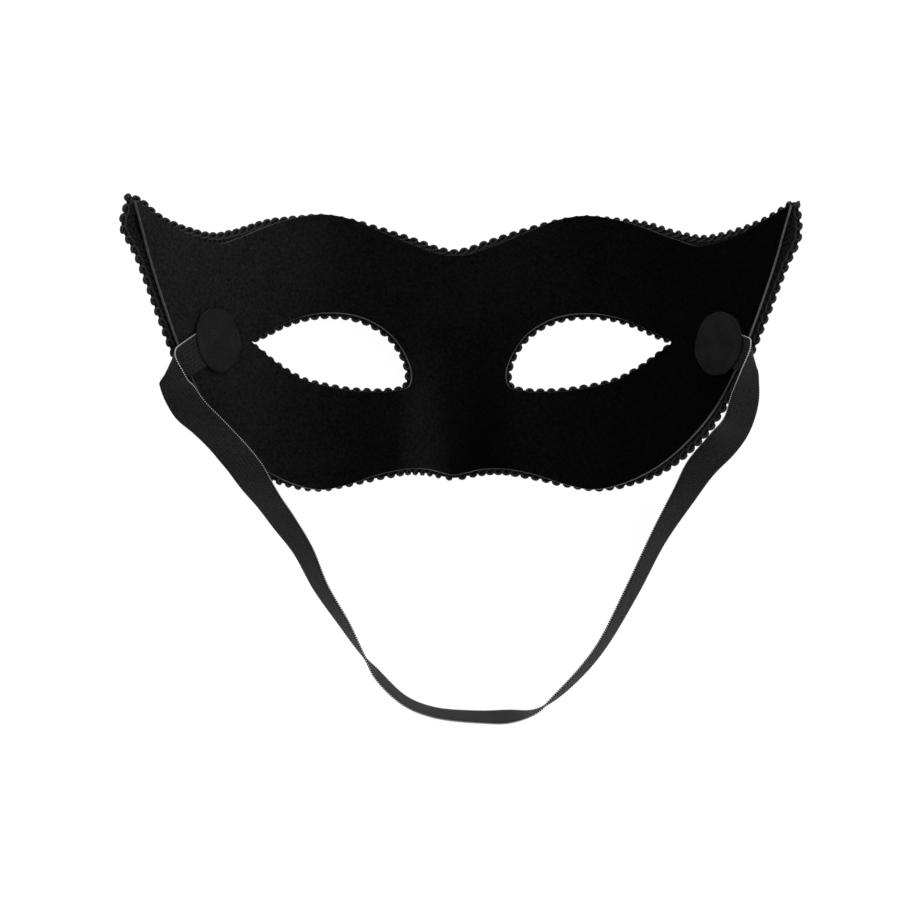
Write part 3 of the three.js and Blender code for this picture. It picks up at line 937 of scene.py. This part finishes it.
def braid(name, plan, overhang, outward, seed):
    """The cords and the tape of the braid along one edge, in place of its solid."""
    columns, joins, tape = braid_rails(plan, overhang, outward)
    place = columns.pop("place")
    values = {
        "Cord Radius": CORD_RADIUS * MM,
        "Cord Sides": CORD_SIDES,
        "Unevenness": UNEVENNESS,
        "Seed": seed,
        "Material": gimp,
    }
    loops = grown(name + "_cords", place, columns, joins, cords, values)
    far, near = tape
    back, front = -BRAID_DEPTH + TAPE_THICKNESS / 2, -BRAID_DEPTH - TAPE_THICKNESS / 2
    section = [on_face(far, back), on_face(near, back), on_face(near, front), on_face(far, front)]
    rings = np.stack(section, axis=1)
    faces = lofted(rings, closed=True)
    faces = faces if outward < 0 else faces[:, ::-1]
    band = shown_mesh(name + "_tape", rings.reshape(-1, 3), faces, [tape_cloth])
    for piece in (loops, band):
        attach(piece, "root")
    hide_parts(name)


# The braid is folded round the left tip, so its loops stand further out there
TIP_FOLD = (-93.5, 35, 0.9)  # middle of the fold in plan, and its share of overhang
TIP_FOLD_SPREAD = (4, 4)

outline = np.vstack([lower_edge[:-1], upper_edge[:-1]])
from_fold = (outline[:, :2] - TIP_FOLD[:2]) / TIP_FOLD_SPREAD
outline[:, 2] += TIP_FOLD[2] * np.exp(-(from_fold**2).sum(axis=1))
braid("edge_braid", outline, EDGE_OVERHANG, 1, 1.0)
braid("left_eye_braid", eye_plan(-1)[::-1] * (-1, 1, 1), EYE_OVERHANG, -1, 2.0)
braid("right_eye_braid", eye_plan(1), EYE_OVERHANG, -1, 3.0)

# Patches. Each is a round of soft embossed cloth, glued down over the end of the strap, which
# shows through it as a low ridge. Its rim is cut by hand and lies close to the lining.
PATCH_RADIUS = 9.4
PATCH_CLOTH = 0.45
STRAP_TUCK = 7  # the strap runs on this far past the middle of the patch
DRAPE = 4.4  # the cloth comes down from the strap to the lining over this width
END_DRAPE = 1.8  # and this many times steeper past the strap's end
CLOTH_SEAT, STRAP_SEAT = 0.12, 0.35  # gaps below the cloth, and between lining and strap
WRINKLE = 0.06
RIM_SHARE, RIM_RISE = 0.55, 12  # of the cloth's thickness at the rim, and its rise inwards
EMBOSSING_PITCH = 1.3

# Name, side, place across and up in shares of the half sizes, turn of the strap's way out in
# degrees, and width across the wing as a share
PATCHES = [("left_patch", -1, 0.764, 0.019, 30, 0.96), ("right_patch", 1, 0.808, 0, 26, 0.93)]
PATCH_RINGS, PATCH_SPOKES = 30, 120
INNER_RING = 0.02  # share of the radius


def patch_finish(recipe):
    """Bonded cloth with a grid of small raised dots."""
    flat = recipe.add("ShaderNodeUVMap")
    place = recipe.add("ShaderNodeSeparateXYZ", {}, {0: flat})
    dot = place.out("X").phase(EMBOSSING_PITCH).cos() * place.out("Y").phase(EMBOSSING_PITCH).cos()
    raised = (dot * 1.6 - 0.4).clamped()
    fibre = recipe.noise(flat, 2500, 3, 0.7)
    blotch = recipe.noise(flat, 180, 2)
    tone = (raised * (1.7 * blotch - 0.45) + 0.9 * fibre + 0.3 * blotch - 0.44).clamped()
    colour = recipe.shade(tone, (0.006, 0.006, 0.0063), (0.036, 0.036, 0.038))
    return colour, 0.55 + 0.35 * fibre, 0.7 * raised + 0.3 * fibre, 0.0002


patch_cloth = cloth_material("embossed_cloth", patch_finish, Specular_IOR_Level=0.08)


def eased(value):
    """0 below 0 and 1 above 1, with a smooth rise between."""
    value = np.clip(value, 0, 1)
    return value * value * (3 - 2 * value)


def patch(name, side, across, height, turn, width):
    """A round of cloth that drapes over the strap's end."""
    centre = np.array([side * across * HALF_WIDTH, height * HALF_HEIGHT])
    normal = skinward(*centre)
    out = np.array([side, 0, 0]) - side * normal[0] * normal
    angle = -side * math.radians(turn)
    leaving = unit(out) * math.cos(angle) + np.cross(normal, unit(out)) * math.sin(angle)
    beside = np.cross(normal, leaving)
    angles = np.linspace(0, 2 * math.pi, PATCH_SPOKES, endpoint=False)
    rim = PATCH_RADIUS * (1 + 0.012 * np.sin(3 * angles + side) + 0.006 * np.sin(7 * angles))
    radii = np.linspace(INNER_RING, 1, PATCH_RINGS)[:, None] * rim
    u, v = radii * np.cos(angles), radii * np.sin(angles)
    beyond = np.maximum(-STRAP_TUCK - u, 0) * END_DRAPE
    aside = np.hypot(np.maximum(np.abs(v) - half_width, 0), beyond)
    over = 1 - eased(aside / DRAPE)
    # The top of the cloth rises over the strap by half as much as its underside
    lift = CLOTH_SEAT + (STRAP_THICKNESS + STRAP_SEAT) * over
    top_lift = CLOTH_SEAT + (STRAP_THICKNESS + STRAP_SEAT) * (0.5 + 0.5 * over)
    wrinkle = WRINKLE * np.sin(1.1 * u + 0.7 * v) * np.sin(0.8 * v - 0.4 * u)
    seat = on_face(centre, WALL / 2)
    # The round is drawn narrower across the wing, and stays as it is along it
    flat_place = u[..., None] * leaving + v[..., None] * beside
    flat_place -= (1 - width) * (flat_place @ unit(out))[..., None] * unit(out)

    def layer(height):
        """The cloth at a height above the lining, which varies over the patch."""
        return seat + flat_place + (height + wrinkle)[..., None] * normal

    thickness = PATCH_CLOTH * np.minimum(1, (1 - radii / rim) * RIM_RISE + RIM_SHARE)
    rings = np.concatenate([layer(top_lift + thickness), layer(lift)[::-1]])
    count = len(rings) * PATCH_SPOKES
    faces = list(lofted(rings, closed=False))
    faces.append(range(PATCH_SPOKES)[::-1])
    faces.append(range(count - PATCH_SPOKES, count))
    piece = shown_mesh(name + "_cloth", rings.reshape(-1, 3), faces, [patch_cloth])
    flat = np.stack([u, v], axis=-1)
    flat_map(piece, np.concatenate([flat, flat[::-1]]).reshape(-1, 2))
    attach(piece, "root")
    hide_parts(name)


for row in PATCHES:
    patch(*row)
